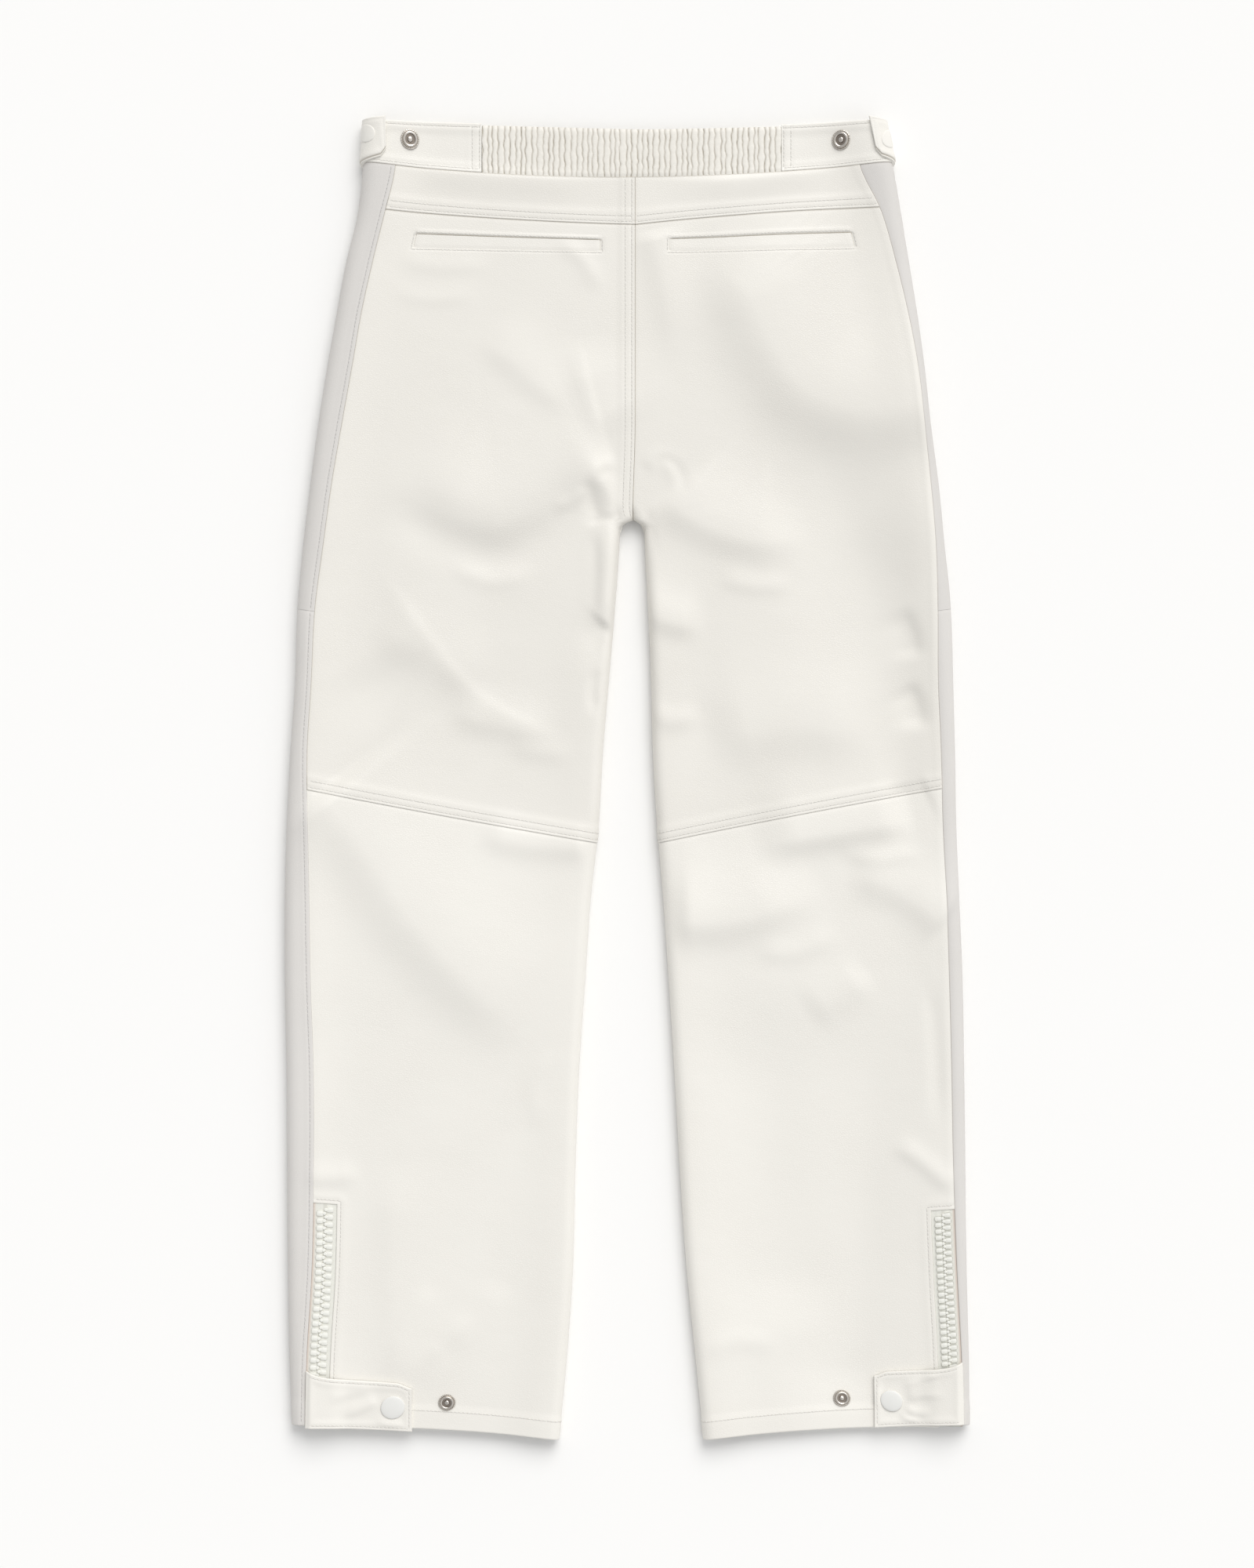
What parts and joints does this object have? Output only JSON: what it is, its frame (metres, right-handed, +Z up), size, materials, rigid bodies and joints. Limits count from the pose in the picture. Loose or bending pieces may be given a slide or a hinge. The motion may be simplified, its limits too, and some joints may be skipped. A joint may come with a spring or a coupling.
{
  "type": "leather biker pants",
  "caption": "Straight-leg leather biker trousers laid flat, back up: shirred waist, welt pockets, side stripes, ankle zips under snap tabs.",
  "frame": {"origin": "on the surface the trousers lie on, under the middle of their bounding box", "axes": "+X to the right as the back is seen from above, +Y towards the waist, +Z up from the surface"},
  "size_m": [0.559, 1.079, 0.0234],
  "materials": {
    "off_white_leather": "pebbled grain, soft sheen",
    "light_grey_leather": "smooth, matte",
    "shirred_leather": "gathered over elastic, soft sheen",
    "zip_plastic": "white tape with moulded teeth",
    "cap_plastic": "smooth white snap cap",
    "stud_steel": "nickel plated"
  },
  "bodies": {
    "root": {"elastic_waistband": "shirred_leather", "side_waistband_left": "off_white_leather", "side_waistband_right": "off_white_leather", "front_waistband_left": "off_white_leather", "front_waistband_right": "off_white_leather", "waist_tab_left": "off_white_leather", "waist_tab_right": "off_white_leather", "back_yoke_left": "off_white_leather", "back_yoke_right": "off_white_leather", "back_thigh_left": "off_white_leather", "back_thigh_right": "off_white_leather", "back_calf_left": "off_white_leather", "back_calf_right": "off_white_leather", "pocket_welt_left": "off_white_leather", "pocket_welt_right": "off_white_leather", "side_stripe_upper_left": "light_grey_leather", "side_stripe_upper_right": "light_grey_leather", "side_stripe_lower_left": "light_grey_leather", "side_stripe_lower_right": "light_grey_leather", "front_leg_left": "off_white_leather", "front_leg_right": "off_white_leather", "fly_flap": "off_white_leather", "ankle_zip_left": "zip_plastic", "ankle_zip_right": "zip_plastic", "zip_slider_left": "stud_steel", "zip_slider_right": "stud_steel", "ankle_tab_left": "off_white_leather", "ankle_tab_right": "off_white_leather", "waist_snap_cap_left": "cap_plastic", "waist_snap_cap_right": "cap_plastic", "ankle_snap_cap_left": "cap_plastic", "ankle_snap_cap_right": "cap_plastic", "waist_stud_left": "stud_steel", "waist_stud_right": "stud_steel", "ankle_stud_left": "stud_steel", "ankle_stud_right": "stud_steel"}
  },
  "joints": []
}
